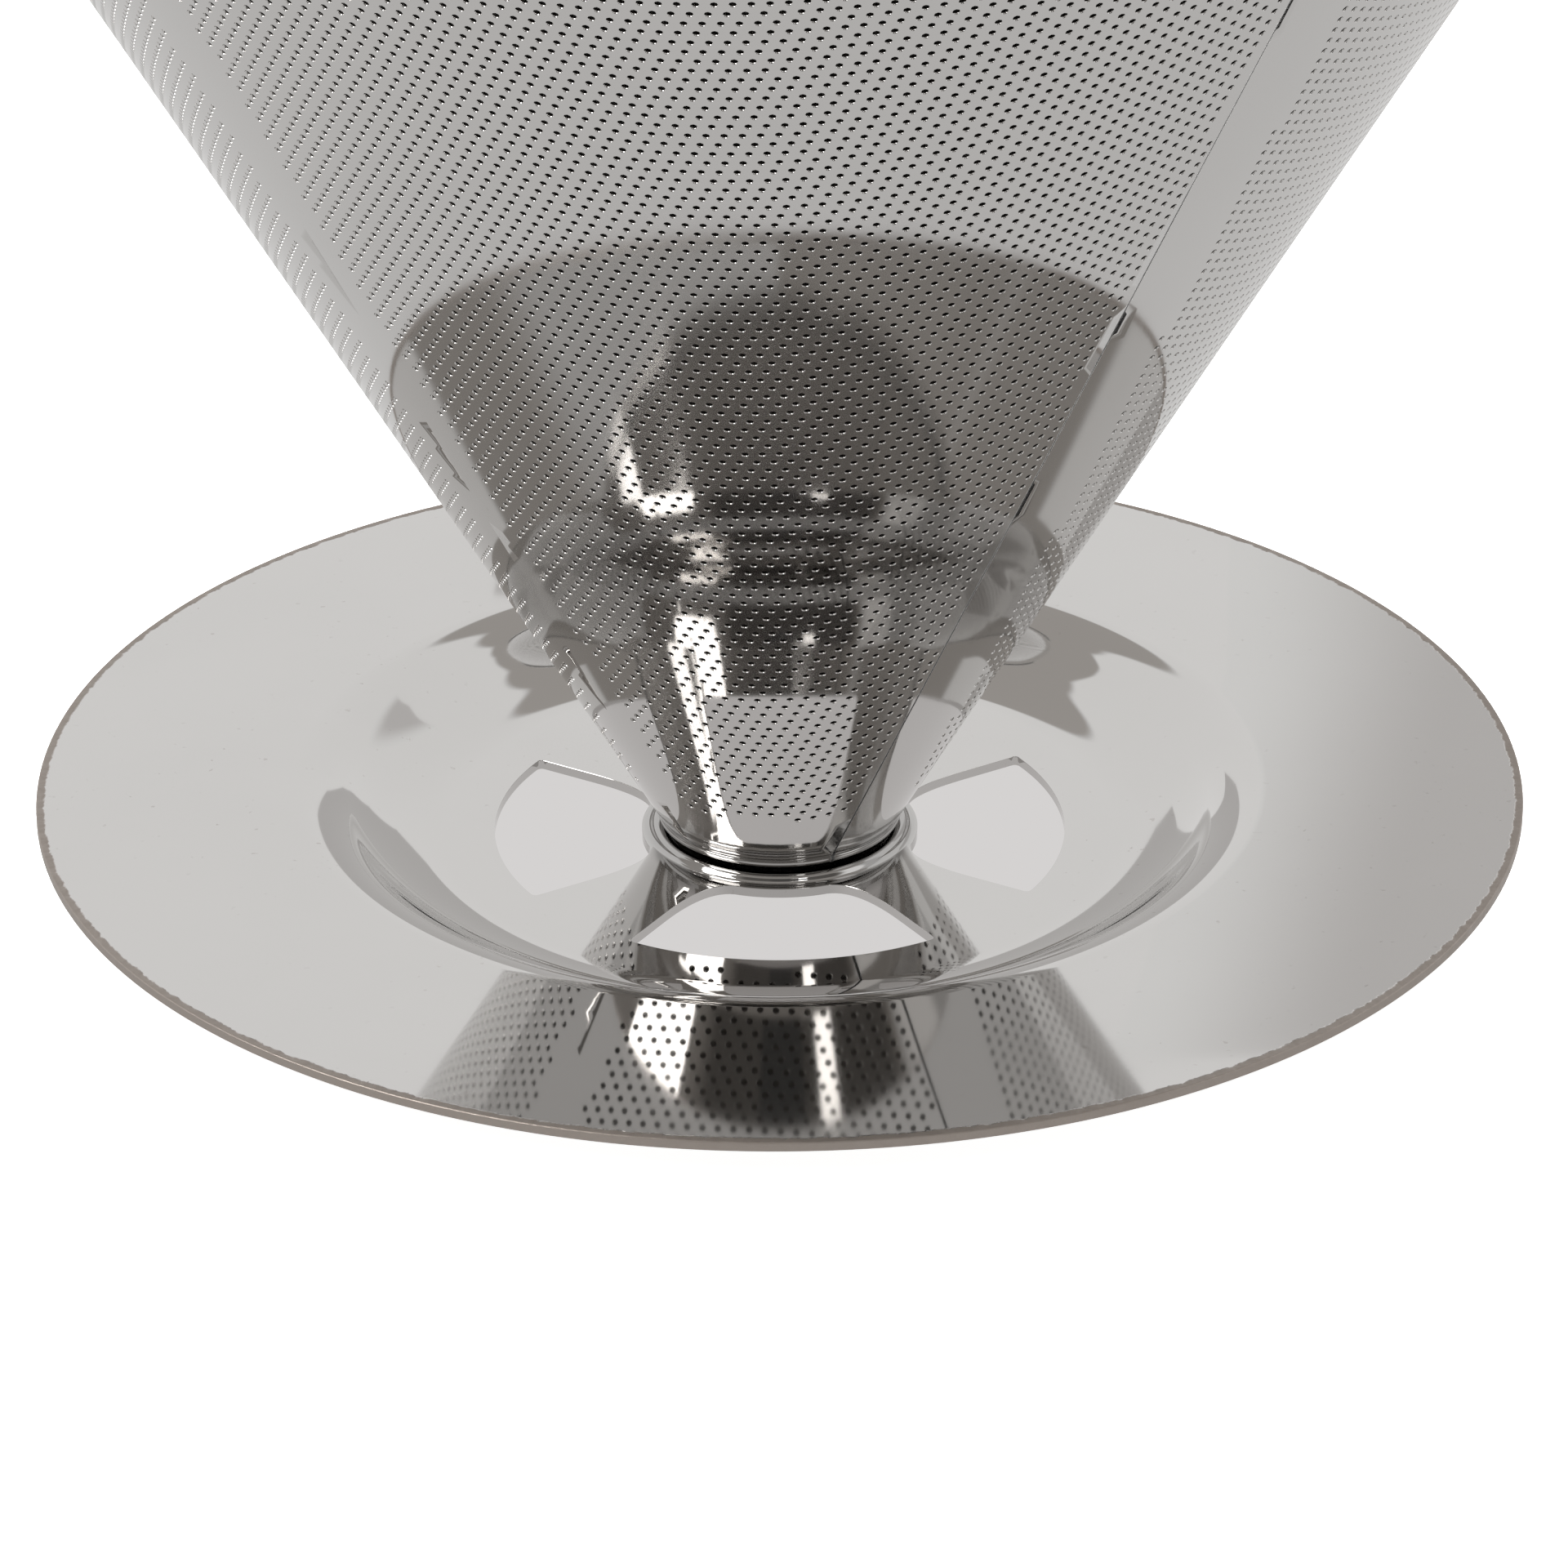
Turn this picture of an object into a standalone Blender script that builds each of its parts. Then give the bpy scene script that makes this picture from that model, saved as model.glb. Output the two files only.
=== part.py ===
"""Paperless pour-over dripper: a perforated steel cone that screws onto a saucer-shaped cup stand.

Units are metres and +Z is up. The origin is on the cone's axis, in the plane of the stand's underside.
The stand stays still. The washer rises with the cone, and the cone turns on the washer.
"""

import math

import bmesh
import bpy
from mathutils import Vector

SEGMENTS = 64  # flats round every large turned piece
SMALL_SEGMENTS = 32  # flats round the stud, the washer and their holes
BEND_STEPS = 5  # straight runs in each bend of a turned profile
BEAD_STEPS = 7  # the same round the bead at the cone's foot
FOLD_STEPS = 6  # the same over the fold of the rim
EDGE_STEPS = 8  # the same along a window's two curved sides
CORNER_STEPS = 5  # the same in a window's wide corners
TIP_STEPS = 2  # the same in a window's tight corners

PART_GAP = 0.00015  # free space between two pieces that touch in the real object
THREAD_GAP = 0.0001  # free space round the stud inside the nut

# Stand: one disc pressed from sheet
STAND_SHEET = 0.0008
BRIM_RADIUS = 0.0600
WELL_RADIUS = 0.0394  # where the flat brim starts to turn down
WELL_DEPTH = 0.0047
WALL_SLOPE = math.radians(42.0)  # steepest slope of the well's wall
SHOULDER_BEND = 0.0070  # bend radius between the brim and the wall
HUB_RISE = 0.0007  # flat hub above the floor of the well
HUB_MARGIN = 0.0006  # hub's flat top past the foot of the cone
HUB_EDGE = 0.0007  # width of the step round the hub

# Drip windows in the floor of the well
WINDOW_COUNT = 4
WINDOW_LEDGE = 0.0040  # floor left between a window and the wall
WINDOW_INSET = 0.0003  # floor left between a window and the hub's step
WINDOW_HALF_ANGLE = math.radians(31.5)
WINDOW_CORNER_ACROSS = 0.0028  # rounding beside the hub, measured round it
WINDOW_CORNER_ALONG = 0.0066  # the same rounding, measured out from the hub
WINDOW_TIP = 0.0005  # rounding beside the ledge

# Cone: a perforated sheet outside and a fine mesh inside
CONE_HALF_ANGLE = math.radians(30.0)
CONE_TOP_RADIUS = 0.0675
CONE_SHEET = 0.0003
MESH_SHEET = 0.00015
FOOT_RADIUS = 0.0094  # outer radius of the cone where it ends
FOOT_GAP = 0.00035  # dark gap between the hub and the foot
BEAD_RADIUS = 0.00045  # rolled edge at the foot
BEAD_PROUD = 0.0002  # bead past the line of the cone
BEAD_NECK = 0.00099  # height above the foot where the bead meets the cone's wall
BEAD_START = math.radians(30.0)  # where the bead's round begins, up from level

# Rim: a band folded over the top edges of both cones
RIM_SHEET = 0.0005
RIM_DEPTH = 0.0052  # length of each leg, along the cone
RIM_HEADROOM = 0.0006  # from the cone's top edge to the inside of the fold

# Foot: a cup that closes the tip, with a nut for the stud, under a cover
CUP_SHEET = 0.0005
CUP_WALL = 0.0018  # height of the cup's wall above its base
NUT_FLATS = 0.0070
NUT_HEIGHT = 0.0032
STUD_RADIUS = 0.0020
STUD_HEAD_RADIUS = 0.0050
STUD_CHAMFER = 0.0003
STUD_END = 0.0003  # stud past the top of the nut
WASHER_RADIUS = 0.0075
WASHER_FIT = 0.0003  # free space between the washer and the stud
COVER_SHEET = 0.0004
COVER_ROOM = 0.0006  # from the stud's end to the cover
COVER_FLANGE = 0.0020  # height of the cover's turned-up edge

# Worked out from the sizes above. The stand's underside is at zero.
FLOOR_TOP = STAND_SHEET
BRIM_TOP = FLOOR_TOP + WELL_DEPTH
HUB_TOP = FLOOR_TOP + HUB_RISE
HUB_RADIUS = FOOT_RADIUS + BEAD_PROUD + HUB_MARGIN
FLOOR_BEND = WELL_DEPTH / (1.0 - math.cos(WALL_SLOPE)) - SHOULDER_BEND
FLOOR_RADIUS = WELL_RADIUS - (SHOULDER_BEND + FLOOR_BEND) * math.sin(WALL_SLOPE)
WINDOW_OUTER = FLOOR_RADIUS - WINDOW_LEDGE
WINDOW_INNER = HUB_RADIUS + HUB_EDGE + WINDOW_INSET
FOOT_PLANE = HUB_TOP + FOOT_GAP
STUD_HOLE = STUD_RADIUS + PART_GAP
NUT_HOLE = STUD_RADIUS + THREAD_GAP

# Heights above the foot plane, for what rides with the cone
CONE_TOP = (CONE_TOP_RADIUS - FOOT_RADIUS) / math.tan(CONE_HALF_ANGLE)
CUP_BASE = 2.0 * BEAD_RADIUS + PART_GAP
CUP_TOP = CUP_BASE + CUP_SHEET + CUP_WALL
NUT_BASE = CUP_BASE + CUP_SHEET + PART_GAP
NUT_TOP = NUT_BASE + NUT_HEIGHT
STUD_TOP = NUT_TOP + STUD_END
COVER_BASE = STUD_TOP + COVER_ROOM
MESH_BASE = CUP_TOP + PART_GAP

# Depths in from the cone's outer face, square to it
MESH_FACE = CONE_SHEET + PART_GAP
COVER_FACE = MESH_FACE + MESH_SHEET + PART_GAP

STEEL = (0.62, 0.61, 0.59, 1.0)
DARK_STEEL = (0.42, 0.41, 0.40, 1.0)
MESH_STEEL = (0.30, 0.29, 0.28, 1.0)
SILICONE = (0.05, 0.05, 0.05, 1.0)


def clear_scene():
    for item in list(bpy.data.objects):
        bpy.data.objects.remove(item, do_unlink=True)


def new_collection(name):
    collection = bpy.data.collections.new(name)
    bpy.context.scene.collection.children.link(collection)
    return collection


def new_material(name, colour, roughness, metallic):
    material = bpy.data.materials.new(name)
    material.use_nodes = True
    shader = material.node_tree.nodes["Principled BSDF"]
    shader.inputs["Base Color"].default_value = colour
    shader.inputs["Roughness"].default_value = roughness
    shader.inputs["Metallic"].default_value = metallic
    return material


def arc(centre, radius, start, end, steps):
    """Points (r, z) along an arc. Angles are in radians, from +r towards +z."""
    turns = [start + (end - start) * i / steps for i in range(steps + 1)]
    return [(centre[0] + radius * math.cos(a), centre[1] + radius * math.sin(a)) for a in turns]


def rounded(before, corner, after, steps):
    """Points on a curve that leaves one point and reaches another, drawn towards the corner between them."""
    points = []
    for i in range(steps + 1):
        t = i / steps
        points.append(before * (1.0 - t) ** 2 + corner * (2.0 * t * (1.0 - t)) + after * t**2)
    return points


def on_cone(height, depth):
    """Point (r, z) in the cone's wall, at a height above the foot and a depth in from the outer face."""
    line = FOOT_RADIUS + height * math.tan(CONE_HALF_ANGLE)
    return (line - depth / math.cos(CONE_HALF_ANGLE), height)


def add_object(name, mesh, collection, material, parent=None):
    item = bpy.data.objects.new(name, mesh)
    if material:
        mesh.materials.append(material)
    item.parent = parent
    collection.objects.link(item)
    return item


def turned(name, profile, closed, collection, material, parent=None, segments=SEGMENTS):
    """A profile of (r, z) points turned round Z. It runs down the outer side of the piece."""
    mesh = bpy.data.meshes.new(name)
    edges = [(i, i + 1) for i in range(len(profile) - 1)]
    if closed:
        edges.append((len(profile) - 1, 0))
    mesh.from_pydata([(r, 0.0, z) for r, z in profile], edges, [])
    item = add_object(name, mesh, collection, material, parent)
    screw = item.modifiers.new("turn", "SCREW")
    screw.axis = "Z"
    screw.angle = math.tau
    screw.steps = segments
    screw.render_steps = segments
    screw.use_merge_vertices = True
    screw.merge_threshold = 0.00001
    screw.use_smooth_shade = True
    return item


def cut(item, cutter):
    boolean = item.modifiers.new("cut_" + cutter.name, "BOOLEAN")
    boolean.operation = "DIFFERENCE"
    boolean.solver = "EXACT"
    boolean.object = cutter


def hide_cutter(cutter):
    cutter.hide_render = True
    cutter.display_type = "WIRE"


def stand_profile():
    """Upper face of the stand, from the stud's hole out to the edge of the brim."""
    shoulder = (WELL_RADIUS, BRIM_TOP - SHOULDER_BEND)
    fillet = (FLOOR_RADIUS, FLOOR_TOP + FLOOR_BEND)
    quarter = math.pi / 2.0
    points = [(STUD_HOLE, HUB_TOP), (HUB_RADIUS, HUB_TOP), (HUB_RADIUS + HUB_EDGE, FLOOR_TOP)]
    points += arc(fillet, FLOOR_BEND, -quarter, WALL_SLOPE - quarter, BEND_STEPS)
    points += arc(shoulder, SHOULDER_BEND, quarter + WALL_SLOPE, quarter, BEND_STEPS)[1:]
    points.append((BRIM_RADIUS, BRIM_TOP))
    return points


def window_outline():
    """Flat outline of one drip window, about +X: a sector of a ring with rounded corners."""

    def at(radius, angle):
        return Vector((radius * math.cos(angle), radius * math.sin(angle)))

    half = WINDOW_HALF_ANGLE
    inner_turn = WINDOW_CORNER_ACROSS / WINDOW_INNER
    side_start = WINDOW_INNER + WINDOW_CORNER_ALONG
    side_end = WINDOW_OUTER - WINDOW_TIP
    outer_turn = WINDOW_TIP / WINDOW_OUTER
    spread = [2.0 * i / EDGE_STEPS - 1.0 for i in range(EDGE_STEPS + 1)]
    outer = [at(WINDOW_OUTER, (half - outer_turn) * t) for t in spread]
    inner = [at(WINDOW_INNER, (half - inner_turn) * -t) for t in spread]
    points = outer[:-1]
    points += rounded(outer[-1], at(WINDOW_OUTER, half), at(side_end, half), TIP_STEPS)
    points += rounded(at(side_start, half), at(WINDOW_INNER, half), inner[0], CORNER_STEPS)
    points += inner[1:-1]
    points += rounded(inner[-1], at(WINDOW_INNER, -half), at(side_start, -half), CORNER_STEPS)
    points += rounded(at(side_end, -half), at(WINDOW_OUTER, -half), outer[0], TIP_STEPS)[:-1]
    return points


def window_cutter(name, angle, collection):
    """Upright block with a window's outline, longer than the sheet is thick."""
    low, high = -STAND_SHEET, FLOOR_TOP + HUB_RISE + STAND_SHEET
    shape = bpy.data.curves.new(name, "CURVE")
    shape.dimensions = "2D"
    shape.fill_mode = "BOTH"
    shape.extrude = (high - low) / 2.0
    outline = window_outline()
    spline = shape.splines.new("POLY")
    spline.points.add(len(outline) - 1)
    for point, (x, y) in zip(spline.points, outline):
        point.co = (x, y, 0.0, 1.0)
    spline.use_cyclic_u = True
    drawn = bpy.data.objects.new(name + "_outline", shape)
    collection.objects.link(drawn)
    drawn.location = (0.0, 0.0, (high + low) / 2.0)
    drawn.rotation_euler = (0.0, 0.0, angle)
    bpy.context.view_layer.update()
    mesh = bpy.data.meshes.new_from_object(drawn.evaluated_get(bpy.context.evaluated_depsgraph_get()))
    block = bmesh.new()
    block.from_mesh(mesh)
    bmesh.ops.remove_doubles(block, verts=block.verts, dist=0.000001)
    block.to_mesh(mesh)
    block.free()
    cutter = bpy.data.objects.new(name, mesh)
    cutter.matrix_world = drawn.matrix_world
    collection.objects.link(cutter)
    bpy.data.objects.remove(drawn, do_unlink=True)
    hide_cutter(cutter)
    return cutter


def make_stand(parts, cutters):
    stand = turned("cup_stand", stand_profile(), False, parts, new_material("stand_steel", STEEL, 0.08, 1.0))
    shell = stand.modifiers.new("sheet", "SOLIDIFY")
    shell.thickness = STAND_SHEET
    shell.offset = -1.0
    shell.use_even_offset = True
    for i in range(WINDOW_COUNT):
        cut(stand, window_cutter(f"window_{i + 1}", math.tau * i / WINDOW_COUNT, cutters))


def make_stud(parts):
    head_top = HUB_RISE - PART_GAP
    end = FOOT_PLANE + STUD_TOP
    profile = [
        (0.0, end),
        (STUD_RADIUS - STUD_CHAMFER, end),
        (STUD_RADIUS, end - STUD_CHAMFER),
        (STUD_RADIUS, head_top),
        (STUD_HEAD_RADIUS, head_top),
        (STUD_HEAD_RADIUS, PART_GAP),
        (0.0, PART_GAP),
    ]
    material = new_material("stud_steel", DARK_STEEL, 0.3, 1.0)
    turned("hub_stud", profile, False, parts, material, segments=SMALL_SEGMENTS)


def make_washer(parts, parent):
    """Soft washer between the hub and the cup, inside the bead. Heights are above the foot plane."""
    bore = STUD_RADIUS + WASHER_FIT
    low = PART_GAP - FOOT_GAP
    high = CUP_BASE - PART_GAP
    profile = [(bore, high), (WASHER_RADIUS, high), (WASHER_RADIUS, low), (bore, low)]
    material = new_material("washer_silicone", SILICONE, 0.6, 0.0)
    turned("foot_washer", profile, True, parts, material, parent, SMALL_SEGMENTS)


def make_outer_cone(parts, parent):
    """Perforated sheet rolled to a cone, with a rolled bead at its lower edge."""
    line = on_cone(BEAD_RADIUS, 0.0)[0]
    centre = (line + BEAD_PROUD - BEAD_RADIUS, BEAD_RADIUS)
    profile = [on_cone(CONE_TOP, 0.0), on_cone(BEAD_NECK, 0.0)]
    profile += arc(centre, BEAD_RADIUS, BEAD_START, -math.pi, BEAD_STEPS)
    profile += [on_cone(BEAD_NECK, CONE_SHEET), on_cone(CONE_TOP, CONE_SHEET)]
    turned("outer_cone", profile, True, parts, new_material("cone_steel", STEEL, 0.1, 1.0), parent)


def make_inner_mesh(parts, parent):
    back = MESH_FACE + MESH_SHEET
    profile = [on_cone(CONE_TOP, MESH_FACE), on_cone(MESH_BASE, MESH_FACE)]
    profile += [on_cone(MESH_BASE, back), on_cone(CONE_TOP, back)]
    turned("inner_mesh", profile, True, parts, new_material("mesh_steel", MESH_STEEL, 0.45, 1.0), parent)


def make_rim_band(parts, parent):
    """Band with two legs along the cone, joined by a rounded fold over the cones' top edges."""
    outer_gap = -PART_GAP
    inner_gap = COVER_FACE
    outer_face = outer_gap - RIM_SHEET
    inner_face = inner_gap + RIM_SHEET
    leg_end = CONE_TOP - RIM_DEPTH * math.cos(CONE_HALF_ANGLE)
    fold = CONE_TOP + RIM_HEADROOM
    outer_top = on_cone(fold, outer_face)
    inner_top = on_cone(fold, inner_face)
    centre = ((outer_top[0] + inner_top[0]) / 2.0, fold)
    radius = (outer_top[0] - inner_top[0]) / 2.0
    profile = arc(centre, radius, math.pi, 0.0, FOLD_STEPS)
    profile += [on_cone(leg_end, outer_face), on_cone(leg_end, outer_gap), on_cone(fold, outer_gap)]
    profile += [on_cone(fold, inner_gap), on_cone(leg_end, inner_gap), on_cone(leg_end, inner_face)]
    turned("rim_band", profile, True, parts, new_material("rim_steel", STEEL, 0.12, 1.0), parent)


def make_foot_cup(parts, parent):
    face = MESH_FACE
    back = face + CUP_SHEET
    base_top = CUP_BASE + CUP_SHEET
    profile = [on_cone(CUP_TOP, face), on_cone(CUP_BASE, face), (STUD_HOLE, CUP_BASE)]
    profile += [(STUD_HOLE, base_top), on_cone(base_top, back), on_cone(CUP_TOP, back)]
    turned("foot_cup", profile, True, parts, new_material("cup_steel", DARK_STEEL, 0.25, 1.0), parent)


def make_nut(parts, cutters, parent):
    """Hexagon nut on the cup's base."""
    middle = (NUT_BASE + NUT_TOP) / 2.0
    corner = NUT_FLATS / 2.0 / math.cos(math.pi / 6.0)
    solids = {}
    for name, radius, height, sides in (
        ("foot_nut", corner, NUT_HEIGHT, 6),
        ("nut_hole", NUT_HOLE, 2.0 * NUT_HEIGHT, SMALL_SEGMENTS),
    ):
        mesh = bpy.data.meshes.new(name)
        block = bmesh.new()
        bmesh.ops.create_cone(
            block, cap_ends=True, segments=sides, radius1=radius, radius2=radius, depth=height
        )
        block.to_mesh(mesh)
        block.free()
        solids[name] = mesh
    nut = add_object("foot_nut", solids["foot_nut"], parts, new_material("nut_steel", DARK_STEEL, 0.3, 1.0), parent)
    hole = add_object("nut_hole", solids["nut_hole"], cutters, None, parent)
    for item in (nut, hole):
        item.location = (0.0, 0.0, middle)
    hide_cutter(hole)
    cut(nut, hole)


def make_tip_cover(parts, parent):
    """Dish that closes the tip above the nut. Its turned-up edge presses the mesh outwards."""
    top = COVER_BASE + COVER_SHEET
    flange = top + COVER_FLANGE
    back = COVER_FACE + COVER_SHEET
    profile = [(0.0, top), on_cone(top, back), on_cone(flange, back)]
    profile += [on_cone(flange, COVER_FACE), on_cone(COVER_BASE, COVER_FACE), (0.0, COVER_BASE)]
    turned("tip_cover", profile, False, parts, new_material("cover_steel", DARK_STEEL, 0.2, 1.0), parent)


def main():
    clear_scene()
    parts = new_collection("pour_over_dripper")
    cutters = new_collection("cutters")
    cone_axis = bpy.data.objects.new("cone_axis", None)
    cone_axis.location = (0.0, 0.0, FOOT_PLANE)
    parts.objects.link(cone_axis)
    make_stand(parts, cutters)
    make_stud(parts)
    make_washer(parts, cone_axis)
    make_outer_cone(parts, cone_axis)
    make_inner_mesh(parts, cone_axis)
    make_rim_band(parts, cone_axis)
    make_foot_cup(parts, cone_axis)
    make_nut(parts, cutters, cone_axis)
    make_tip_cover(parts, cone_axis)


main()
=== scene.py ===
"""Looks of a paperless pour-over dripper: perforated cone, inner mesh, rim, foot and cup stand.

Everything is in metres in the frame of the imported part. Flat sizes of the rolled sheet are in millimetres.
"""

import math

import bpy
import numpy as np
from bpy.props import FloatProperty, FloatVectorProperty, IntProperty, PointerProperty
from mathutils import Matrix, Vector
from mathutils.geometry import delaunay_2d_cdt


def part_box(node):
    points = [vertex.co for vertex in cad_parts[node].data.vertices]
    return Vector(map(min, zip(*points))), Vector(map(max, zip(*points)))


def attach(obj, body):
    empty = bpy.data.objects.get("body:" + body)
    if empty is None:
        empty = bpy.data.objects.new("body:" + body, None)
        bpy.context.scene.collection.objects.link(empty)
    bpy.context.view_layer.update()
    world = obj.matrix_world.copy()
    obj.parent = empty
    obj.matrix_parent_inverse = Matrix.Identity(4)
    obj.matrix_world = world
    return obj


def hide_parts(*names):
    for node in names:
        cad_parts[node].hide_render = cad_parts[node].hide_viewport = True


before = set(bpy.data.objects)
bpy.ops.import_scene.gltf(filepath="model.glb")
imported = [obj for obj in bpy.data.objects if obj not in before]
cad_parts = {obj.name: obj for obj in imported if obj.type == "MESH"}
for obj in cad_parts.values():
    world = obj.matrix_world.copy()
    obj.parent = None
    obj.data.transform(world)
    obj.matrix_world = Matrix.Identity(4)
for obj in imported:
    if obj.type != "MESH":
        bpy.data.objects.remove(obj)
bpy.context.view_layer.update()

bl_info = {
    "name": "Pour-over dripper looks",
    "version": (1, 0, 0),
    "blender": (4, 5, 0),
    "location": "3D View > Sidebar > Dripper",
    "description": "Builds the visible pieces, finishes and stage of a perforated pour-over dripper",
    "category": "Object",
}

MM = 0.001
QUARTER = math.pi / 2.0

# The lap seam's line in the flat sheet: its direction from the front and its distance from the apex
SEAM_TURN = math.radians(18.95)
SEAM_OFFSET = -0.00217
SEAM_GAP = 0.00018

# How deep the mesh's two faces lie under the cone's outer face
MESH_FRONT = 0.00045
MESH_BACK = 0.0006

# Colours of what the steel mirrors
NEUTRAL = (1.0, 0.995, 0.99, 1.0)
WARM = (1.0, 0.945, 0.89, 1.0)

# Cards in front: azimuth, elevation, width and height in degrees, strength, squareness
LIGHT_CARDS = (
    ("camera_card", 0.0, 27.5, 17.0, 8.0, 0.10, 3.0),
    ("right_strip_light", 20.0, 28.6, 7.0, 6.4, 6.0, 6.0),
    ("right_strip_upper", 17.0, 33.2, 13.0, 1.4, 3.4, 6.0),
    ("left_softbox", -58.0, 27.0, 26.0, 26.0, 8.5, 8.0),
    ("left_upper_light", -75.0, 42.0, 9.0, 9.0, 6.5, 4.0),
)

# Sizes that the frame gives
STAND_LOW, STAND_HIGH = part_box("cup_stand")
CONE_LOW, CONE_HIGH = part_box("outer_cone")
RIM_LOW, RIM_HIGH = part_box("rim_band")
MESH_LOW, MESH_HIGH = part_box("inner_mesh")
CONE_SLOPE = math.radians(30.0)
CONE_TOP_RADIUS = CONE_HIGH.x
FOOT_PLANE = CONE_LOW.z
FOOT_RADIUS = CONE_TOP_RADIUS - (CONE_HIGH.z - CONE_LOW.z) * math.tan(CONE_SLOPE)
APEX = FOOT_PLANE - FOOT_RADIUS / math.tan(CONE_SLOPE)


# ---------------------------------------------------------------- shader graphs


class Wire:
    """A node's output. Arithmetic on it adds Math nodes."""

    def __init__(self, graph, socket):
        self.graph = graph
        self.socket = socket

    def math(self, operation, *terms):
        return self.graph.node("ShaderNodeMath", {"operation": operation}, dict(enumerate(terms)))

    def __add__(self, other):
        return self.math("ADD", self, other)

    def __sub__(self, other):
        return self.math("SUBTRACT", self, other)

    def __rsub__(self, other):
        return self.math("SUBTRACT", other, self)

    def __mul__(self, other):
        return self.math("MULTIPLY", self, other)

    def __truediv__(self, other):
        return self.math("DIVIDE", self, other)

    def __rtruediv__(self, other):
        return self.math("DIVIDE", other, self)

    def __pow__(self, other):
        return self.math("POWER", self, other)

    def __neg__(self):
        return self.math("MULTIPLY", self, -1.0)

    __radd__ = __add__
    __rmul__ = __mul__

    def most(self, other):
        return self.math("MAXIMUM", self, other)

    def size(self):
        return self.math("ABSOLUTE", self)

    def wave(self):
        return self.math("SINE", self)

    def step(self, low, high, start=0.0, end=1.0):
        """Eases from start to end while this value goes from low to high."""
        return self.graph.node(
            "ShaderNodeMapRange",
            {"interpolation_type": "SMOOTHSTEP"},
            {"Value": self, "From Min": low, "From Max": high, "To Min": start, "To Max": end},
        )


class Graph:
    """The node tree of one finish or of the world."""

    def __init__(self, owner):
        owner.use_nodes = True
        self.tree = owner.node_tree
        self.tree.nodes.clear()

    def node(self, kind, settings=None, values=None, output=0):
        made = self.tree.nodes.new(kind)
        for key, value in (settings or {}).items():
            setattr(made, key, value)
        for key, value in (values or {}).items():
            if isinstance(value, Wire):
                self.tree.links.new(value.socket, made.inputs[key])
            else:
                made.inputs[key].default_value = value
        return Wire(self, made.outputs[output]) if made.outputs else None

    def place(self):
        """Coordinates of a point in the part's own frame."""
        return self.node("ShaderNodeTexCoord", output="Object")

    def parts(self, vector):
        split = self.node("ShaderNodeSeparateXYZ", values={"Vector": vector})
        return [Wire(self, socket) for socket in split.socket.node.outputs]

    def join(self, x, y, z):
        return self.node("ShaderNodeCombineXYZ", values={"X": x, "Y": y, "Z": z})

    def noise(self, vector, scale, detail=2.0, rough=0.5, settings=None):
        values = {"Vector": vector, "Scale": scale, "Detail": detail, "Roughness": rough}
        return self.node("ShaderNodeTexNoise", settings, values)

    def blend(self, share, one, other):
        """Colour between one and the other."""
        settings = {"data_type": "RGBA", "clamp_factor": True}
        return self.node("ShaderNodeMix", settings, {0: share, 6: one, 7: other}, 2)

    def bump(self, height, distance, normal=None, strength=1.0):
        values = {"Height": height, "Distance": distance, "Strength": strength}
        if normal:
            values["Normal"] = normal
        return self.node("ShaderNodeBump", values=values)

    def surface(self, **values):
        """A Principled shader that takes values by socket name, with _ for each space."""
        named = {key.replace("_", " "): value for key, value in values.items()}
        shader = self.node("ShaderNodeBsdfPrincipled", values=named)
        self.node("ShaderNodeOutputMaterial", values={"Surface": shader})


def shade(colour, amount):
    """A colour made darker or lighter by a factor."""
    return (colour[0] * amount, colour[1] * amount, colour[2] * amount, 1.0)


def new_finish(name):
    finish = bpy.data.materials.new(name)
    return finish, Graph(finish)


def polished_marks(graph, place):
    """Cloudy wipe marks and hairline scratches of handled polished steel, each from 0 to 1."""
    clouds = graph.noise(place, 55.0, 4.0, 0.6).step(0.35, 0.75)
    stretched = graph.node(
        "ShaderNodeMapping", values={"Vector": place, "Rotation": (0.3, 0.2, 0.9), "Scale": (1.0, 22.0, 6.0)}
    )
    hairs = graph.noise(stretched, 420.0, 3.0, 0.7).step(0.62, 0.78)
    return clouds, hairs


def sheet_place(graph, place):
    """Radius, height over the apex, slant distance and turn in the flat sheet of a point on the cone."""
    x, y, z = graph.parts(place)
    up = z - APEX
    radius = (x * x + y * y) ** 0.5
    slant = (x * x + y * y + up * up) ** 0.5
    turn = x.math("ARCTAN2", x, -y) * math.sin(CONE_SLOPE)
    return radius, up, slant, turn


def stand_finish(colours):
    finish, graph = new_finish("stand_polished_steel")
    place = graph.place()
    x, y, _ = graph.parts(place)
    radius = (x * x + y * y) ** 0.5
    clouds, hairs = polished_marks(graph, place)
    ragged = graph.noise(place, 900.0, 3.0, 0.6)
    edge = STAND_HIGH.x
    burr = (radius + ragged * 0.0007).step(edge - 0.00038, edge - 0.00020)
    specks = graph.noise(place, 1400.0, 2.0, 0.5).step(0.70, 0.76) * clouds
    steel = graph.blend(clouds * 0.25, shade(colours.steel, 1.0), shade(colours.steel, 0.94))
    steel = graph.blend(specks * 0.4, steel, shade(colours.cut_edge, 0.8))
    # Painted shade: the stand is darkened under the cone's foot, fully inside about 10 mm radius and fading out
    # by about 12 mm.
    painted_shade_under_foot = radius.step(0.0102, 0.0122, 1.0, 0.0)
    steel = graph.blend(painted_shade_under_foot * 0.5, steel, shade(colours.steel, 0.4))
    colour = graph.blend(burr, steel, shade(colours.cut_edge, 1.0))
    rough = 0.035 + clouds * 0.03 + hairs * 0.02 + burr * (0.25 + ragged * 0.3)
    waves = graph.noise(place, 38.0, 1.0)
    soft = graph.bump(waves, 0.000012)
    grain = graph.bump(ragged * burr, 0.00008, soft)
    graph.surface(Base_Color=colour, Metallic=1.0, Roughness=rough, Normal=grain)
    return finish


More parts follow.
